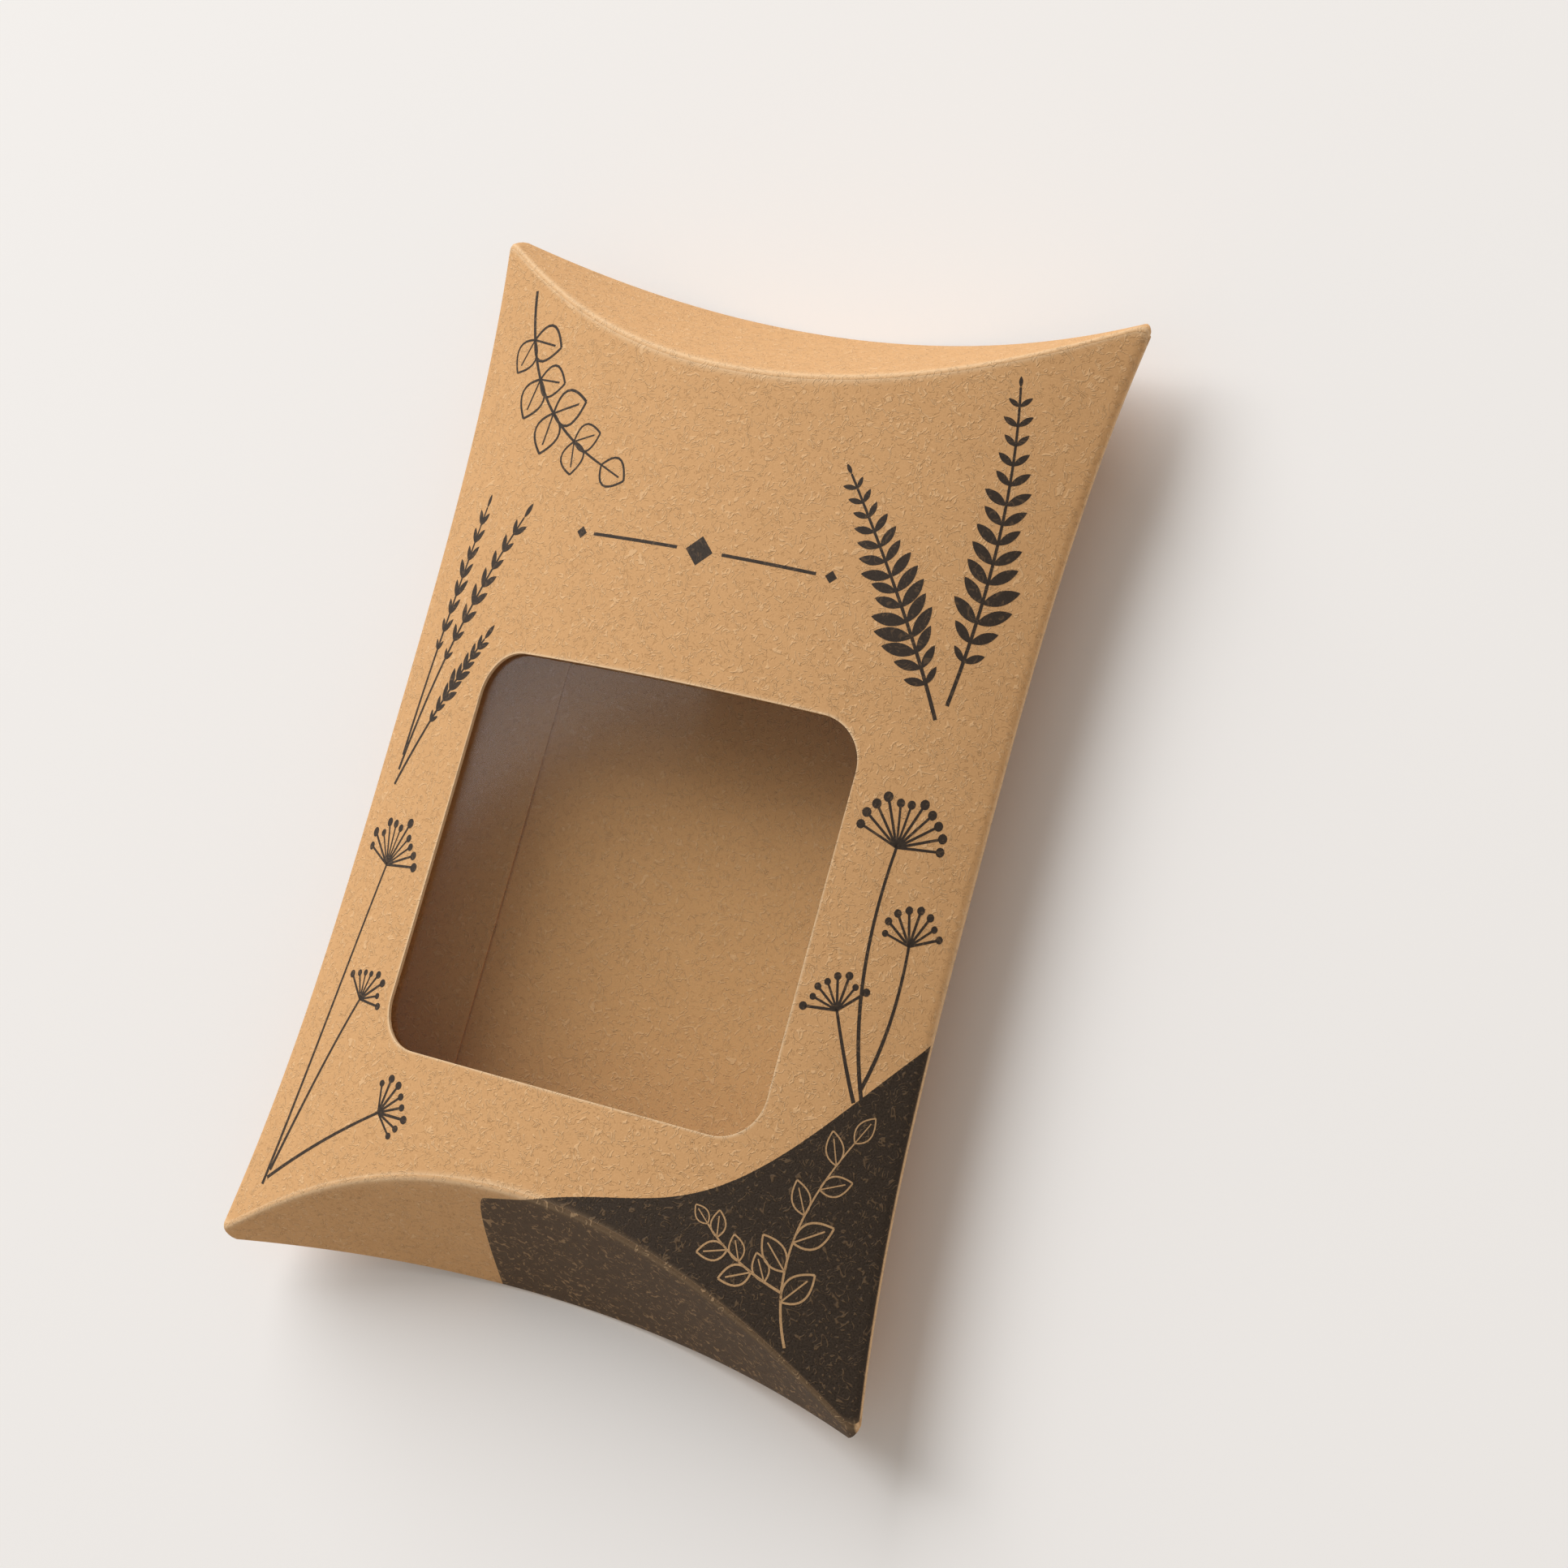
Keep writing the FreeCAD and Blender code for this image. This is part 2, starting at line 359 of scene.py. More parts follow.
# Each look: its deep and pale brown, how strongly its fibres show, and how high they stand
outer_look = ((0.600, 0.334, 0.146), (0.715, 0.412, 0.189), 0.42, 0.055 * mm)
inner_look = ((0.615, 0.335, 0.136), (0.710, 0.402, 0.172), 0.34, 0.045 * mm)
edge_look = ((0.70, 0.46, 0.25), (0.82, 0.57, 0.34), 0.10, 0.02 * mm)
kraft_print = kraft_board("kraft_printed", *outer_look, printed_ground)
kraft_inside = kraft_board("kraft_inside", *inner_look)
kraft_edge = kraft_board("kraft_cut_edge", *edge_look, cut=True)


def sheet_mesh(name, rows, blank, wear_and_highlight, closed=False):
    """A sheet of quads through rows of points, with the blank's flat places as its UV map."""
    mesh = bpy.data.meshes.new(name)
    count = len(rows[0])
    faces = []
    for row in range(len(rows) - 1):
        here, beyond = row * count, (row + 1) * count
        for k in range(count if closed else count - 1):
            after = (k + 1) % count
            faces.append((here + k, here + after, beyond + after, beyond + k))
    mesh.from_pydata([point for row in rows for point in row], [], faces)
    flat = [place for row in blank for place in row]
    layer = mesh.uv_layers.new(name="blank")
    for loop in mesh.loops:
        layer.data[loop.index].uv = flat[loop.vertex_index]
    # The pale band at folds and rims, which is wear and also a painted highlight
    rubbed_and_highlit = mesh.attributes.new("wear_and_highlight", "FLOAT", "POINT")
    rubbed_and_highlit.data.foreach_set("value", [value for row in wear_and_highlight for value in row])
    sheet = bpy.data.objects.new(name, mesh)
    bpy.context.scene.collection.objects.link(sheet)
    return sheet


def bend(sheet, tree, finish, **sizes):
    """Put a shaping tree on a sheet, with its inputs set by their identifiers."""
    shaping = sheet.modifiers.new(tree.name, "NODES")
    shaping.node_group = tree
    values = {**sizes, "finish": finish}
    for item in tree.interface.items_tree:
        if item.in_out == "INPUT" and item.name in values:
            shaping[item.identifier] = values[item.name]


def thicken(sheet, thickness, finishes, soft_edges=True):
    """Give a sheet its thickness inwards, with finishes for its face, its inside and its cut edge."""
    for finish in finishes:
        sheet.data.materials.append(finish)
    wall = sheet.modifiers.new("thickness", "SOLIDIFY")
    wall.thickness = thickness
    wall.offset = -1.0
    wall.material_offset = 1
    wall.material_offset_rim = 2
    if soft_edges:
        soft = sheet.modifiers.new("cut_edges", "BEVEL")
        soft.width = edge_round
        soft.segments = edge_segments
        soft.limit_method = "ANGLE"
        soft.angle_limit = edge_angle


def settle(sheet):
    """Turn the shaped sheet into a plain mesh, with soft shading except at crisp edges."""
    bpy.context.view_layer.update()
    shaped = sheet.evaluated_get(bpy.context.evaluated_depsgraph_get())
    plain = bpy.data.meshes.new_from_object(shaped)
    sheet.modifiers.clear()
    old = sheet.data
    sheet.data = plain
    bpy.data.meshes.remove(old)
    plain.shade_smooth()
    plain.set_sharp_from_angle(angle=crisp_angle)


def form_sheet(sheet, side, thickness, finishes, soft_edges=True):
    """Bend a flat sheet over the front panel (side 1) or the back one (-1) and give it its thickness."""
    bend(sheet, bow_tree, finishes[0], side=side)
    bend(sheet, waist_tree, finishes[0])
    thicken(sheet, thickness, finishes, soft_edges)
    settle(sheet)


def bow_height(across):
    """Height of a panel's face above the corner plane, at a place across the flat sheet."""
    if abs(across) <= fold_start:
        return math.sqrt(bow_radius**2 - across**2) - bow_radius + panel_rise
    past = fold_angle + (abs(across) - fold_start) / fold_radius
    return fold_radius * math.cos(past)


def crease(across, fold, span):
    """Place along the length of a curved crease: fold at its middle, and span at the corners."""
    return fold + (span - fold) * (1 - bow_height(across) / panel_rise)


def bend_reach(across):
    """How far before the front crease the board starts to turn; less where the flap is narrow."""
    full = bend_radius * math.tan(end_turn / 2)
    return min(full, bend_share * 2 * bow_height(across) / math.cos(end_lean))


def front_edge(across):
    """Where the front panel ends and the bend into its flap starts."""
    return crease(across, front_fold, half_span) - bend_reach(across)


def tip_rounded(edge, corner_end=None):
    """An end edge, place along the length against place across, with its two tips rounded off to meet
    the side folds at corner_end, if that is given."""
    slope = (edge(fold_start) - edge(fold_start - fold_radius)) / fold_radius
    lean = math.atan(slope)
    start = flat_half_width - tip_radius * (1 + math.sin(lean))
    centre = edge(start) - tip_radius * math.cos(lean)
    reach = corner_end - centre if corner_end else 0.0

    def rounded(across):
        if abs(across) <= start:
            return edge(across)
        past = abs(across) - flat_half_width + tip_radius
        share = (abs(across) - start) / (flat_half_width - start)
        return centre + math.sqrt(max(tip_radius**2 - past**2, 0)) + reach * share**2

    return rounded


panel_end = tip_rounded(front_edge)
fold_end = panel_end(flat_half_width)
columns = [flat_half_width * math.cos(math.pi * k / outline_count) for k in range(outline_count + 1)]


def panel_outline():
    """The front panel's flat outline, counter-clockwise from the bottom right tip."""
    shares = [k / outline_count for k in range(outline_count)]
    right = [(flat_half_width, fold_end * (2 * share - 1)) for share in shares]
    top = [(across, panel_end(across)) for across in columns[:-1]]
    left = [(-flat_half_width, fold_end * (1 - 2 * share)) for share in shares]
    bottom = [(-across, -panel_end(across)) for across in columns[:-1]]
    return right + top + left + bottom


def rounded_window(grow, corner):
    """The window's outline, grown all round, with as many points to a side as the panel has."""
    points = []
    sides = (window_half_width + grow, window_half_length + grow)
    for turn in range(4):
        out, along = sides[turn % 2], sides[1 - turn % 2]
        straight = along - corner
        half_run = straight + corner * math.pi / 4
        for k in range(outline_count):
            run = half_run * (2 * k / outline_count - 1)
            angle = max(abs(run) - straight, 0) / corner
            spot = (out, run)
            if angle > 0:
                rounded = math.copysign(straight + corner * math.sin(angle), run)
                spot = (out - corner + corner * math.cos(angle), rounded)
            for quarter in range(turn):
                spot = (-spot[1], spot[0])
            points.append((spot[0], spot[1] + window_centre))
    return points


def ring_sheet(name, inner, outer, height, count=ring_count):
    """A flat sheet between two outlines, its rings closest together at both and rubbed pale there, with a
    painted highlight.
    """
    pairs = list(zip(inner, outer))[::-1]
    rows, blank, wear_and_highlight = [], [], []
    for ring in range(count + 1):
        share = (1 - math.cos(math.pi * ring / count)) / 2
        spots, rubbed_and_highlit = [], []
        for start, stop in pairs:
            spot = (start[0] + (stop[0] - start[0]) * share, start[1] + (stop[1] - start[1]) * share)
            # Pale near the folds and the window's rim: wear, and a painted highlight
            fold = 1 - math.dist(spot, stop) / wear_highlight_reach
            rim = rim_wear_and_highlight - math.dist(spot, start) / rim_highlight_reach
            spots.append(spot)
            rubbed_and_highlit.append(max(0.0, fold, rim) ** 2)
        rows.append([(x, y, height) for x, y in spots])
        blank.append(spots)
        wear_and_highlight.append(rubbed_and_highlit)
    return sheet_mesh(name, rows, blank, wear_and_highlight, closed=True)


front_panel_board = ring_sheet(
    "front_panel_board", rounded_window(0.0, window_corner), panel_outline(), 0.0
)
form_sheet(front_panel_board, 1.0, board, (kraft_print, kraft_inside, kraft_edge))
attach(front_panel_board, "sleeve")
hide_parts("front_panel")

# Print: dark brown ink laid on the flat sheet before it is cut and folded. Sprigs of fern, grass and round
# leaves and a few seed heads stand along the long sides, with a plain rule and diamonds over the window.
ink_height = 0.02 * mm
ink_thickness = 0.012 * mm
ink_join = 0.002 * mm
ink_rough, ink_grain_rough = 0.6, 0.15
ink_specular = 0.25
ink_fleck = 0.22
stem_steps = 28
leaf_steps = 12

# Half the width of each drawn line, as a share of the stem's stroke, and how much a stem thins to its tip
leaf_line_share, rib_line_share, ray_line_share = 0.38, 0.3, 0.32
sprig_thinning, seed_stem_thinning = 0.45, 0.3

# A leaf is fullest at its belly, its rib stops short of its tip, and leaves and rays vary a little
belly_share, rib_share = 0.4, 0.78
blade_fullness = 0.8
leaf_growth = 0.2
leaf_least, leaf_most = 0.84, 1.12
ray_least, ray_most = 0.82, 1.08


def ribbon(curve, half_line, count=leaf_steps):
    """A flat ribbon along a curve that lies in the sheet's plane."""
    steps = curve.node("GeometryNodeResampleCurve", {"Curve": curve, "Count": count}, mode="COUNT")
    level = curve.node("GeometryNodeSetCurveNormal", {"Curve": steps}, mode="Z_UP")
    across = curve.node("GeometryNodeCurvePrimitiveLine", {"Start": (-1, 0, 0), "End": (1, 0, 0)})
    return curve.node(
        "GeometryNodeCurveToMesh", {"Curve": level, "Profile Curve": across, "Scale": half_line}
    )


def stem_curve(wires):
    """The curve of a stem from its root to its tip."""
    ends = {"Start": wires["root"], "Middle": wires["bow"], "End": wires["tip"]}
    return wires["root"].node("GeometryNodeCurveQuadraticBezier", {"Resolution": stem_steps, **ends})


def stem_ribbon(wires, curve, thinning):
    """A stem drawn along its curve, thinner towards its tip."""
    share = curve.node("GeometryNodeSplineParameter")
    return ribbon(curve, wires["stroke"] * 0.5 * (1 - thinning * share), stem_steps)


def leaf_shape(wires):
    """One leaf along x from its root: a solid blade, or an outline with a midrib."""
    length, width = wires["leaf_length"], wires["leaf_width"]
    share = length.node("GeometryNodeSplineParameter")
    end = length.node("ShaderNodeCombineXYZ", {0: length})
    spine = length.node("GeometryNodeCurvePrimitiveLine", {"Start": (0, 0, 0), "End": end})
    swell = share.math("SINE", share * math.pi)
    blade = ribbon(spine, width * 0.5 * swell.math("POWER", swell, blade_fullness))
    strokes = []
    for side in (1, -1):
        belly = length.node("ShaderNodeCombineXYZ", {0: length * belly_share, 1: width * side})
        edge = length.node(
            "GeometryNodeCurveQuadraticBezier",
            {"Resolution": leaf_steps, "Start": (0, 0, 0), "Middle": belly, "End": end},
        )
        strokes.append(ribbon(edge, wires["stroke"] * leaf_line_share))
    rib_end = length.node("ShaderNodeCombineXYZ", {0: length * rib_share})
    rib = length.node("GeometryNodeCurvePrimitiveLine", {"Start": (0, 0, 0), "End": rib_end})
    strokes.append(ribbon(rib, wires["stroke"] * rib_line_share))
    drawn = length.node("GeometryNodeJoinGeometry", {0: strokes})
    return length.node("GeometryNodeSwitch", {"Switch": wires["outline"], "False": blade, "True": drawn})


def varied(wire, least, most, seed):
    """A random size for each leaf or ray, with a fixed seed."""
    return wire.node(
        "FunctionNodeRandomValue", {2: least, 3: most, "Seed": seed}, output=1, data_type="FLOAT"
    )


def set_on_points(points, shape, heading, size, **choice):
    """The shape on each point, turned in the sheet's plane to a heading and scaled to a size."""
    turned = points.node(
        "FunctionNodeEulerToRotation", {0: points.node("ShaderNodeCombineXYZ", {2: heading})}
    )
    scale = points.node("ShaderNodeCombineXYZ", {0: size, 1: size, 2: size})
    places = {"Points": points, "Instance": shape, "Rotation": turned, "Scale": scale}
    return points.node("GeometryNodeInstanceOnPoints", {**places, **choice})


def make_sprig_tree():
    """Add a sprig to the print: a stem with leaves on both sides, smaller towards its tip."""
    tree, wires = shape_tree(
        "print_sprig",
        root=(0.0, 0.0, 0.0),
        bow=(0.0, 10 * mm, 0.0),
        tip=(0.0, 20 * mm, 0.0),
        count=9,
        first=0.15,
        leaf_length=6.0 * mm,
        leaf_width=2.0 * mm,
        leaf_angle=0.9,
        taper=0.5,
        first_size=0.5,
        stroke=0.5 * mm,
        paired=True,
        outline=False,
        seed=1,
    )
    curve = stem_curve(wires)
    stem = stem_ribbon(wires, curve, sprig_thinning)
    leafy = curve.node("GeometryNodeTrimCurve", {"Curve": curve, "Start": wires["first"]}, mode="FACTOR")
    spots = curve.node("GeometryNodeCurveToPoints", {"Curve": leafy, "Count": wires["count"]}, mode="COUNT")
    ahead = curve.node("ShaderNodeSeparateXYZ", {0: spots.out("Tangent")})
    heading = ahead.math("ARCTAN2", ahead.out("Y"), ahead.out("X"))
    order = curve.node("GeometryNodeInputIndex")
    last = order.math("COMPARE", order, wires["count"] - 1, 0.5)
    odd = order.math("MODULO", order, 2)
    grown = order.math("MINIMUM", wires["first_size"] + order * leaf_growth, 1.0)
    leaf = leaf_shape(wires)
    pieces = [wires["Geometry"], stem]
    for side, turn_of in ((1, odd), (-1, (1 - odd))):
        chance = varied(curve, leaf_least, leaf_most, wires["seed"] + side)
        chosen = order.math("MAXIMUM", wires["paired"], turn_of) * (1 - last) + last * max(side, 0)
        swing = heading + wires["leaf_angle"] * chance * side * (1 - last)
        size = (1 - wires["taper"] * order / wires["count"]) * chance * grown
        pieces.append(set_on_points(spots, leaf, swing, size, Selection=chosen))
    close_tree(tree, curve.node("GeometryNodeJoinGeometry", {0: pieces}), wires["finish"])
    return tree


def make_seed_head_tree():
    """Add a seed head to the print: a stem that ends in a fan of thin rays, each with a round seed."""
    tree, wires = shape_tree(
        "print_seed_head",
        root=(0.0, 0.0, 0.0),
        bow=(0.0, 10 * mm, 0.0),
        tip=(0.0, 20 * mm, 0.0),
        count=9,
        ray=5.0 * mm,
        fan=2.6,
        seed_radius=0.6 * mm,
        stroke=0.5 * mm,
        seed=1,
    )
    curve = stem_curve(wires)
    stem = stem_ribbon(wires, curve, seed_stem_thinning)
    reach = curve.node("ShaderNodeCombineXYZ", {0: wires["ray"]})
    line = curve.node("GeometryNodeCurvePrimitiveLine", {"Start": (0, 0, 0), "End": reach})
    disc = curve.node(
        "GeometryNodeMeshCircle", {"Vertices": leaf_steps, "Radius": wires["seed_radius"]}, fill_type="NGON"
    )
    seed = curve.node("GeometryNodeTransform", {"Geometry": disc, "Translation": reach})
    drawn = ribbon(line, wires["stroke"] * ray_line_share)
    ray = curve.node("GeometryNodeJoinGeometry", {0: [drawn, seed]})
    fan_points = curve.node(
        "GeometryNodeMeshLine",
        {"Count": wires["count"], "Start Location": wires["tip"], "Offset": (0, 0, 0)},
        mode="OFFSET",
    )
    leaning = curve.node("ShaderNodeVectorMath", {0: wires["tip"], 1: wires["bow"]}, operation="SUBTRACT")
    ahead = curve.node("ShaderNodeSeparateXYZ", {0: leaning})
    heading = ahead.math("ARCTAN2", ahead.out("Y"), ahead.out("X"))
    order = curve.node("GeometryNodeInputIndex")
    across = order / (wires["count"] - 1) - 0.5
    chance = varied(curve, ray_least, ray_most, wires["seed"])
    rays = set_on_points(fan_points, ray, heading + across * wires["fan"], chance)
    joined = curve.node("GeometryNodeJoinGeometry", {0: [wires["Geometry"], stem, rays]})
    close_tree(tree, joined, wires["finish"])
    return tree


def printed_ink(name, thin, full, fibre):
    """Ink that has sunk into the board: slightly uneven, with stray fibres of the board in it."""
    material = bpy.data.materials.new(name)
    material.use_nodes = True
    tree = material.node_tree
    shader = tree.nodes["Principled BSDF"]
    wire = Wire(tree)
    place = wire.node("ShaderNodeTexCoord", output="Object")
    spot = wire.node("ShaderNodeVectorMath", {0: place, 3: 1 / mm}, operation="SCALE")
    grain = spot.mottled(grain_scale)
    light = board_fibres(spot, *light_fibres)
    tint = wire.node("ShaderNodeValToRGB", {0: grain}, stops=((tone_low, thin), (tone_high, full)))
    colour = tint.mixed((*fibre, 1), light * ink_fleck)
    tree.links.new(colour.socket, shader.inputs["Base Color"])
    tree.links.new((ink_rough + grain * ink_grain_rough).socket, shader.inputs["Roughness"])
    shader.inputs["Specular IOR Level"].default_value = ink_specular
    return material


dark_ink = printed_ink("dark_ink", (0.050, 0.034, 0.023), (0.032, 0.021, 0.014), (0.30, 0.18, 0.09))
bare_line = printed_ink("bare_line", (0.40, 0.235, 0.11), (0.55, 0.34, 0.17), (0.70, 0.46, 0.26))
dark_stroke, bare_stroke = 0.52 * mm, 0.34 * mm
sprig_tree = make_sprig_tree()
seed_head_tree = make_seed_head_tree()

fern = {"leaf_length": 5.4 * mm, "leaf_width": 1.9 * mm, "leaf_angle": 0.95, "taper": 0.75}
fern.update(count=15, first=0.14, paired=True, outline=False)
round_leaf = {"leaf_length": 6.2 * mm, "leaf_width": 5.4 * mm, "leaf_angle": 0.95, "taper": 0.35}
round_leaf.update(count=5, first=0.22, first_size=0.9, paired=True, outline=True)
grass = {"leaf_length": 3.3 * mm, "leaf_width": 1.15 * mm, "leaf_angle": 0.55, "taper": 0.4}
grass.update(count=9, first=0.42, paired=True, outline=False)
narrow_leaf = {"leaf_length": 5.4 * mm, "leaf_width": 3.0 * mm, "leaf_angle": 0.8, "taper": 0.35}
narrow_leaf.update(count=7, first=0.2, first_size=0.9, paired=False, outline=True)
small_leaf = {**narrow_leaf, "leaf_length": 4.2 * mm, "leaf_width": 2.5 * mm, "count": 6}
wide_head = {"count": 11, "ray": 6.0 * mm, "fan": 2.7, "seed_radius": 0.62 * mm}
small_head = {"count": 8, "ray": 4.2 * mm, "fan": 2.5, "seed_radius": 0.5 * mm}

# Each line: the tree, the look, and the stem's root, bow and tip in millimetres on the flat sheet
dark_print = (
    (sprig_tree, fern, (37.0, 17.0), (39.5, 38.0), (34.5, 57.0)),
    (sprig_tree, fern, (36.0, 15.0), (30.0, 25.0), (17.0, 42.0)),
    (sprig_tree, round_leaf, (-38.5, 61.0), (-36.0, 45.0), (-18.0, 38.0)),
    (sprig_tree, grass, (-41.0, -5.0), (-38.5, 12.0), (-29.0, 30.0)),
    (sprig_tree, grass, (-41.0, -7.0), (-36.5, 3.0), (-30.0, 13.5)),
    (sprig_tree, grass, (-41.0, -3.0), (-40.5, 12.0), (-37.5, 31.0)),
    (seed_head_tree, wide_head, (-41.5, -61.0), (-40.8, -40.0), (-37.0, -17.5)),
    (seed_head_tree, small_head, (-41.0, -60.0), (-34.0, -54.0), (-24.0, -48.0)),
    (seed_head_tree, small_head, (-41.0, -59.0), (-38.6, -46.0), (-33.9, -35.0)),
    (seed_head_tree, wide_head, (39.5, -31.0), (34.0, -18.0), (35.5, -1.0)),
    (seed_head_tree, small_head, (39.0, -30.0), (41.5, -22.0), (40.5, -12.0)),
    (seed_head_tree, small_head, (38.6, -31.5), (36.5, -28.0), (33.5, -21.5)),
)
bare_print = (
    (sprig_tree, narrow_leaf, (37.0, -61.0), (32.0, -50.0), (40.0, -36.0)),
    (sprig_tree, small_leaf, (35.3, -55.0), (28.8, -53.4), (24.6, -49.6)),
)

# The rule, in millimetres on the flat sheet; each diamond has its place along it and its reach
rule_level = 29.0
rule_line = 0.42
rule_from, rule_to = 3.2, 16.0
rule_parts = 10
rule_diamonds = ((0.0, 1.9), (-18.0, 0.8), (18.0, 0.8))


def plain_rule():
    """Outlines of a rule in two halves, cut into parts that follow the bow, and of its diamonds."""
    marks = []
    for place, reach in rule_diamonds:
        marks.append(((place, -reach), (place + reach, 0.0), (place, reach), (place - reach, 0.0)))
    for side in (-1, 1):
        for part in range(rule_parts):
            near = rule_from + (rule_to - rule_from) * part / rule_parts
            far = rule_from + (rule_to - rule_from) * (part + 1) / rule_parts
            low, high = sorted((side * near, side * far))
            half = rule_line / 2
            marks.append(((low, -half), (high, -half), (high, half), (low, half)))
    return marks


def lay_print(name, marks, lines, finish, stroke):
    """Draw a print flat, bend it with the front panel and fix it to the sleeve."""
    drawn = bpy.data.meshes.new(name)
    corners = [(x * mm, (y + rule_level) * mm, ink_height) for mark in marks for x, y in mark]
    drawn.from_pydata(corners, [], [tuple(range(4 * k, 4 * k + 4)) for k in range(len(marks))])
    ink = bpy.data.objects.new(name, drawn)
    bpy.context.scene.collection.objects.link(ink)
    for number, (tree, look, *spots) in enumerate(lines):
        root, bow, tip = [(x * mm, y * mm, ink_height) for x, y in spots]
        bend(ink, tree, finish, root=root, bow=bow, tip=tip, seed=number + 1, stroke=stroke, **look)
    joined = ink.modifiers.new("joined_ends", "WELD")
    joined.merge_threshold = ink_join
    form_sheet(ink, 1.0, ink_thickness, (finish,), soft_edges=False)
    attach(ink, "sleeve")


lay_print("panel_print", plain_rule(), dark_print, dark_ink, dark_stroke)
lay_print("ground_print", (), bare_print, bare_line, bare_stroke)

# Back panel: the plain side of the same sheet, bowed the other way and joined to the front panel
# along the side folds. It stops short of the outer flaps, which close over its two ends.
back_fold = joints["top_inner_crease"]["pos_m"][1]
flap_set_in = front_fold + 2 * panel_rise * math.tan(end_lean) - back_fold
back_span = half_span - flap_set_in
back_turn = right_angle + end_lean
back_bend_radius = 0.6 * mm
back_rows = 72
kraft_plain = kraft_board("kraft_plain", *outer_look)


def back_reach(across):
    """How far before the back crease the board starts to turn; less where the flap is narrow."""
    full = back_bend_radius * math.tan(back_turn / 2)
    return min(full, bend_share * 2 * bow_height(across) / math.cos(end_lean))


def back_edge(across):
    """Where the back panel ends and the bend into its flap starts."""
    return crease(across, back_fold, back_span) - back_reach(across)


back_end = tip_rounded(back_edge, fold_end)


def back_wear_and_highlight(across, along):
    """How far the back panel is rubbed pale, with a painted highlight, close to its folds and creases."""
    gap = min(flat_half_width - abs(across), back_end(across) - abs(along))
    return max(0.0, 1 - gap / wear_highlight_reach) ** 2


def strip_sheet(name, places, low_edge, high_edge, height, row_count, rubbed_and_highlit=None):
    """A flat sheet of columns, each from its low edge to its high edge along the length."""
    rows, blank, wear_and_highlight = [], [], []
    for row in range(row_count + 1):
        share = row / row_count
        spots = [(x, low_edge(x) + (high_edge(x) - low_edge(x)) * share) for x in places]
        rows.append([(x, y, height) for x, y in spots])
        blank.append(spots)
        wear_and_highlight.append([rubbed_and_highlit(x, y) if rubbed_and_highlit else 0.0 for x, y in spots])
    return sheet_mesh(name, rows, blank, wear_and_highlight)


back_panel_board = strip_sheet(
    "back_panel_board", columns, lambda x: -back_end(x), back_end, 0.0, back_rows, back_wear_and_highlight
)
form_sheet(back_panel_board, -1.0, board, (kraft_plain, kraft_inside, kraft_edge))
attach(back_panel_board, "sleeve")
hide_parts("back_panel")

# Seam tab and its glue: a strip of the blank turned in at the left fold and stuck down inside the
# back panel with a thin run of clear adhesive. Its long cut edge shows through the window.
glue_gap = 0.06 * mm
glue_thickness = 0.06 * mm
glue_depth = board + glue_gap
stuck_depth = glue_depth + glue_thickness + glue_gap
glue_inset = 1.2 * mm
tab_edge = -24.5 * mm
tab_clear = 1.5 * mm
tab_root = -(fold_start - tab_clear)
tab_set_in = 3.6 * mm
tab_columns = 24
tab_rows = 48


def tab_end(across):
    """Where the tab is cut off, short of the back crease."""
    return crease(across, back_fold, back_span) - tab_set_in


def tab_places(inset):
    """Columns of the tab from its cut edge to its root, drawn in by an inset at both."""
    first, last = tab_edge - inset, tab_root + inset
    return [first + (last - first) * k / tab_columns for k in range(tab_columns + 1)]


seam_tab_strip = strip_sheet(
    "seam_tab_strip", tab_places(0.0), lambda x: -tab_end(x), tab_end, -stuck_depth, tab_rows
)
form_sheet(seam_tab_strip, -1.0, board, [kraft_inside] * 3)
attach(seam_tab_strip, "sleeve")
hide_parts("seam_tab")

glue_deep, glue_pale = (0.62, 0.48, 0.30), (0.80, 0.70, 0.52)
glue_tone_low, glue_tone_high = 0.35, 0.65
glue_streak_scale = 0.6 / mm
glue_rough, glue_streak_rough = 0.15, 0.3


def dried_glue():
    """Clear adhesive that has dried slightly yellow, with a broken gloss."""
    material = bpy.data.materials.new("dried_glue")
    material.use_nodes = True
    tree = material.node_tree
    shader = tree.nodes["Principled BSDF"]
    place = Wire(tree).node("ShaderNodeTexCoord", output="Object")
    streaks = place.mottled(glue_streak_scale)
    stops = ((glue_tone_low, glue_deep), (glue_tone_high, glue_pale))
    colour = place.node("ShaderNodeValToRGB", {0: streaks}, stops=stops)
    tree.links.new(colour.socket, shader.inputs["Base Color"])
    tree.links.new((glue_rough + streaks * glue_streak_rough).socket, shader.inputs["Roughness"])
    return material


glue_finish = dried_glue()
seam_glue_line = strip_sheet(
    "seam_glue_line",
    tab_places(glue_inset),
    lambda x: glue_inset - tab_end(x),
    lambda x: tab_end(x) - glue_inset,
    -glue_depth,
    tab_rows,
)
form_sheet(seam_glue_line, -1.0, glue_thickness, [glue_finish] * 3, soft_edges=False)
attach(seam_glue_line, "sleeve")
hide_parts("seam_glue")

# Window film and its glue: a clear plastic sheet cut larger than the window and stuck behind it
# by a thin frame of adhesive. It takes the panel's bow and catches a soft reflection.
film_margin = 5.5 * mm
film_corner = 3.0 * mm
film_thickness = 0.15 * mm
film_rows = 40
film_half_width = window_half_width + film_margin
film_half_length = window_half_length + film_margin
film_columns = [-film_half_width * math.cos(math.pi * k / outline_count) for k in range(outline_count + 1)]
film_tint = (0.97, 0.97, 0.96, 1)
film_rough = 0.12
ripple_scale, ripple_height, ripple_strength = 0.05 / mm, 0.4 * mm, 0.06
shine_least, shine_growth = 0.02, 5.0


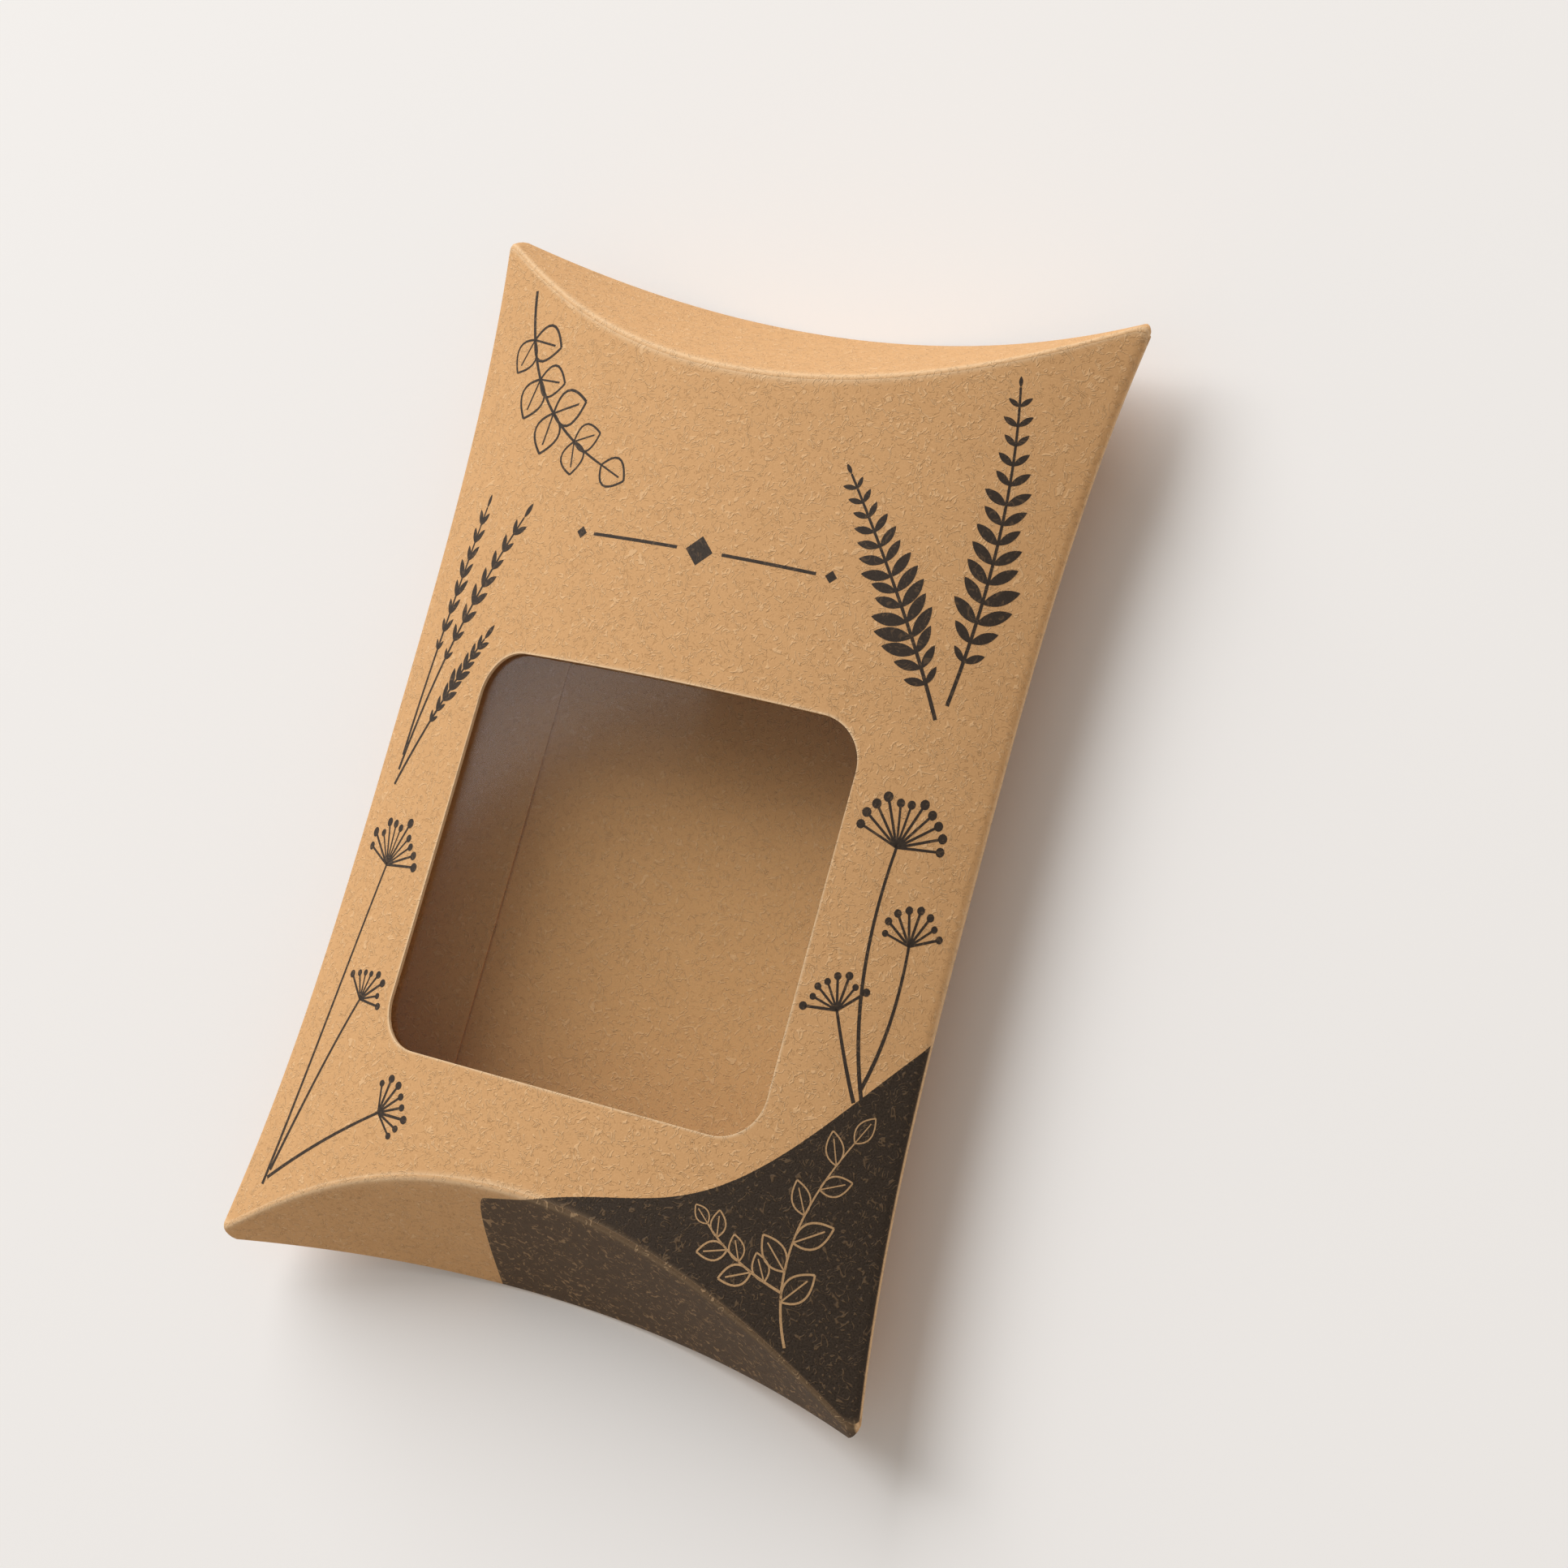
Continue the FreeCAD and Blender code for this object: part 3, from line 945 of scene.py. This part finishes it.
def clear_film():
    """Clear film: see-through, with a faint grey cast and a gloss that grows at a slant."""
    material = bpy.data.materials.new("clear_film")
    material.use_nodes = True
    tree = material.node_tree
    tree.nodes.remove(tree.nodes["Principled BSDF"])
    wire = Wire(tree)
    ripple = wire.node("ShaderNodeTexCoord", output="Object").mottled(ripple_scale, detail=1.0)
    relief = {"Strength": ripple_strength, "Distance": ripple_height, "Height": ripple}
    bump = wire.node("ShaderNodeBump", relief)
    through = wire.node("ShaderNodeBsdfTransparent", {"Color": film_tint})
    gloss = wire.node("ShaderNodeBsdfGlossy", {"Roughness": film_rough, "Normal": bump})
    slant = wire.node("ShaderNodeLayerWeight", {"Blend": 0.5, "Normal": bump}, output="Facing")
    shine = shine_least + slant.math("POWER", slant, shine_growth) * (1 - shine_least)
    film = wire.node("ShaderNodeMixShader", {0: shine, 1: through, 2: gloss})
    tree.links.new(film.socket, tree.nodes["Material Output"].inputs["Surface"])
    return material


def film_reach(across):
    """Half the film's length at a place across it, less at its rounded corners."""
    past = max(abs(across) - film_half_width + film_corner, 0)
    return film_half_length - film_corner + math.sqrt(max(film_corner**2 - past**2, 0))


film_finish = clear_film()
window_film_sheet = strip_sheet(
    "window_film_sheet",
    film_columns,
    lambda x: window_centre - film_reach(x),
    lambda x: window_centre + film_reach(x),
    -stuck_depth,
    film_rows,
)
form_sheet(window_film_sheet, 1.0, film_thickness, [film_finish] * 3, soft_edges=False)
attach(window_film_sheet, "sleeve")
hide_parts("window_film")

glue_rings = 6
window_glue_frame = ring_sheet(
    "window_glue_frame",
    rounded_window(glue_inset, window_corner),
    rounded_window(film_margin - glue_inset, film_corner),
    -glue_depth,
    glue_rings,
)
form_sheet(window_glue_frame, 1.0, glue_thickness, [glue_finish] * 3, soft_edges=False)
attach(window_glue_frame, "sleeve")
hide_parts("window_glue")

# End flaps: the blank's four lens-shaped ends, each turned in over a curved crease. An outer flap on
# the front panel closes over a shorter inner flap on the back panel, and each bends at its crease.
edge_gap = 0.4 * mm
inner_flap_drop = 0.6 * mm
least_flap = 0.08 * mm
bend_steps = 8
flap_steps = 18
tip_inked = flat_half_width - 1.1 * mm
tip_bare = flat_half_width - 0.8 * mm
# The ground's ink is thinner on the end flaps: partly wear, partly painted bounce light
flap_ink, flap_fleck = 0.905, 0.22


def flap_ground(sheet, light):
    """The same ground on an end flap: thinner than on the panel, partly rubbed by handling and partly
    painted bounce light on the shaded flap, and bare at the flap's tips.
    """
    across = abs(sheet.node("ShaderNodeSeparateXYZ", {0: sheet}).out("X"))
    inked = across.ranged(tip_bare, tip_inked)
    return printed_ground(sheet, light) * inked * (flap_ink - light * flap_fleck)


kraft_flap = kraft_board("kraft_flap", *outer_look, flap_ground)


def outer_length(across):
    """Length of an outer flap from its crease to its free edge over the back panel, rounded at its tips."""
    full = (2 * bow_height(across) - edge_gap) / math.cos(end_lean)
    corner = half_length - fold_end
    past = max(abs(across) - flat_half_width + corner, 0)
    limit = fold_end + math.sqrt(max(corner**2 - past**2, 0))
    reach = bend_reach(across)
    turned = panel_end(across) + reach / math.tan(end_turn / 2) * math.sin(end_turn)
    return min(full, reach + (limit - turned) / math.sin(end_lean))


def inner_length(across):
    """Length of an inner flap from its crease to its free edge under the outer flap."""
    return (bow_height(across) - inner_flap_drop) / math.cos(end_lean)


def bow_place(across):
    """Distance from the middle of a panel's face, at a place across the flat sheet."""
    if abs(across) <= fold_start:
        return across
    past = fold_angle + (abs(across) - fold_start) / fold_radius
    return math.copysign(half_width - fold_radius + fold_radius * math.sin(past), across)


def flap_sheet(name, end, side, turn, edge, reach, length):
    """One end flap as a sheet that leaves its panel, turns over its crease and runs to its edge."""
    places = [x for x in columns if length(x) >= reach(x) + least_flap]
    if end * side > 0:
        places.reverse()
    rows, blank, wear_and_highlight = [], [], []
    for step in range(bend_steps + flap_steps + 1):
        row, flat, rubbed_and_highlit = [], [], []
        for x in places:
            radius = reach(x) / math.tan(turn / 2)
            angle = turn * min(step / bend_steps, 1)
            past = max(step / bend_steps - 1, 0) * bend_steps / flap_steps * (length(x) - reach(x))
            along = edge(x) + radius * math.sin(angle) + past * math.cos(turn)
            level = bow_height(x) - radius * (1 - math.cos(angle)) - past * math.sin(turn)
            run = radius * angle + past
            row.append((bow_place(x), end * along, corner_level + side * level))
            flat.append((x, end * (edge(x) + run)))
            # Pale at the middle of the crease's bend: wear, and a painted highlight
            rubbed_and_highlit.append(max(0.0, 1 - abs(run - radius * turn / 2) / wear_highlight_reach) ** 2)
        rows.append(row)
        blank.append(flat)
        wear_and_highlight.append(rubbed_and_highlit)
    return sheet_mesh(name, rows, blank, wear_and_highlight)


for place, end in (("top", 1), ("bottom", -1)):
    for layer, side, turn, edge, reach, length, fold, span, finish in (
        ("outer", 1, end_turn, panel_end, bend_reach, outer_length, front_fold, half_span, kraft_flap),
        ("inner", -1, back_turn, back_end, back_reach, inner_length, back_fold, back_span, kraft_plain),
    ):
        node = f"{place}_{layer}_flap"
        flap = flap_sheet(f"{node}_board", end, side, turn, edge, reach, length)
        bend(flap, waist_tree, finish)
        thicken(flap, board, (finish, kraft_inside, kraft_edge))
        settle(flap)
        hinge = Vector((0, end * fold, corner_level + side * panel_rise))
        slope = Vector((0, end * (span - fold), -side * panel_rise))
        inward = Vector((0, -end * panel_rise, -side * (span - fold))) / slope.length
        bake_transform(flap)
        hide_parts(node)
        "kraft_printed" if layer == "outer" else "kraft_plain"

# Studio: a pale seamless floor, one large soft lamp from the upper left, a dim card low on the left that
# the film mirrors, and weak soft light all round.
floor_reach = 3.0
floor_colour = (0.89, 0.868, 0.85, 1)
floor_rough = 0.9
floor_corners = ((-1, -1), (1, -1), (1, 1), (-1, 1))
floor_mesh = bpy.data.meshes.new("studio_floor")
floor_points = [(x * floor_reach, y * floor_reach, 0) for x, y in floor_corners]
floor_mesh.from_pydata(floor_points, [], [(0, 1, 2, 3)])
studio_floor = bpy.data.objects.new("studio_floor", floor_mesh)
bpy.context.scene.collection.objects.link(studio_floor)
floor_paint = bpy.data.materials.new("floor_paint")
floor_paint.use_nodes = True
floor_shader = floor_paint.node_tree.nodes["Principled BSDF"]
floor_shader.inputs["Base Color"].default_value = floor_colour
floor_shader.inputs["Roughness"].default_value = floor_rough
floor_mesh.materials.append(floor_paint)

room_colour = (1.0, 0.94, 0.87, 1)
room_strength = 0.42
world = bpy.data.worlds.new("soft_room")
bpy.context.scene.world = world
world.use_nodes = True
world.node_tree.nodes["Background"].inputs["Color"].default_value = room_colour
world.node_tree.nodes["Background"].inputs["Strength"].default_value = room_strength


def soft_lamp(name, place, along, wide, high, watts, tint=(1.0, 1.0, 1.0)):
    """A rectangular soft lamp that faces the middle of the box, with its width turned along a direction."""
    light = bpy.data.lights.new(name, "AREA")
    light.shape = "RECTANGLE"
    light.size = wide
    light.size_y = high
    light.energy = watts
    light.color = tint
    lamp = bpy.data.objects.new(name, light)
    out = Vector(place).normalized()
    side = (Vector(along) - out * out.dot(Vector(along))).normalized()
    turn = Matrix((side, out.cross(side), out)).transposed().to_4x4()
    lamp.matrix_world = Matrix.Translation(place) @ turn
    bpy.context.scene.collection.objects.link(lamp)


soft_lamp(
    "key_lamp",
    place=(-2.62, 3.10, 2.80),
    along=(1.0, 0.0, 0.0),
    wide=3.9,
    high=3.9,
    watts=244.0,
    tint=(0.95, 0.975, 1.0),
)
soft_lamp(
    "left_card",
    place=(-1.28, 0.46, 1.42),
    along=(0.60, 0.10, 0.52),
    wide=1.40,
    high=0.50,
    watts=4.6,
)

# The camera stands where the box's outline falls on the photograph's
camera_lens = bpy.data.cameras.new("photo_camera")
camera_lens.lens = 67.15
camera_lens.sensor_width = 36.0
camera_lens.clip_start = 0.01
photo_camera = bpy.data.objects.new("photo_camera", camera_lens)
camera_place = Vector((0.17265, -0.03700, 0.33263))
camera_right = Vector((0.87875, 0.26471, -0.39715))
camera_up = Vector((-0.19076, 0.95755, 0.21613))
camera_turn = Matrix((camera_right, camera_up, camera_right.cross(camera_up))).transposed().to_4x4()
photo_camera.matrix_world = Matrix.Translation(camera_place) @ camera_turn
bpy.context.scene.collection.objects.link(photo_camera)
bpy.context.scene.camera = photo_camera
bpy.context.scene.view_settings.view_transform = "Standard"
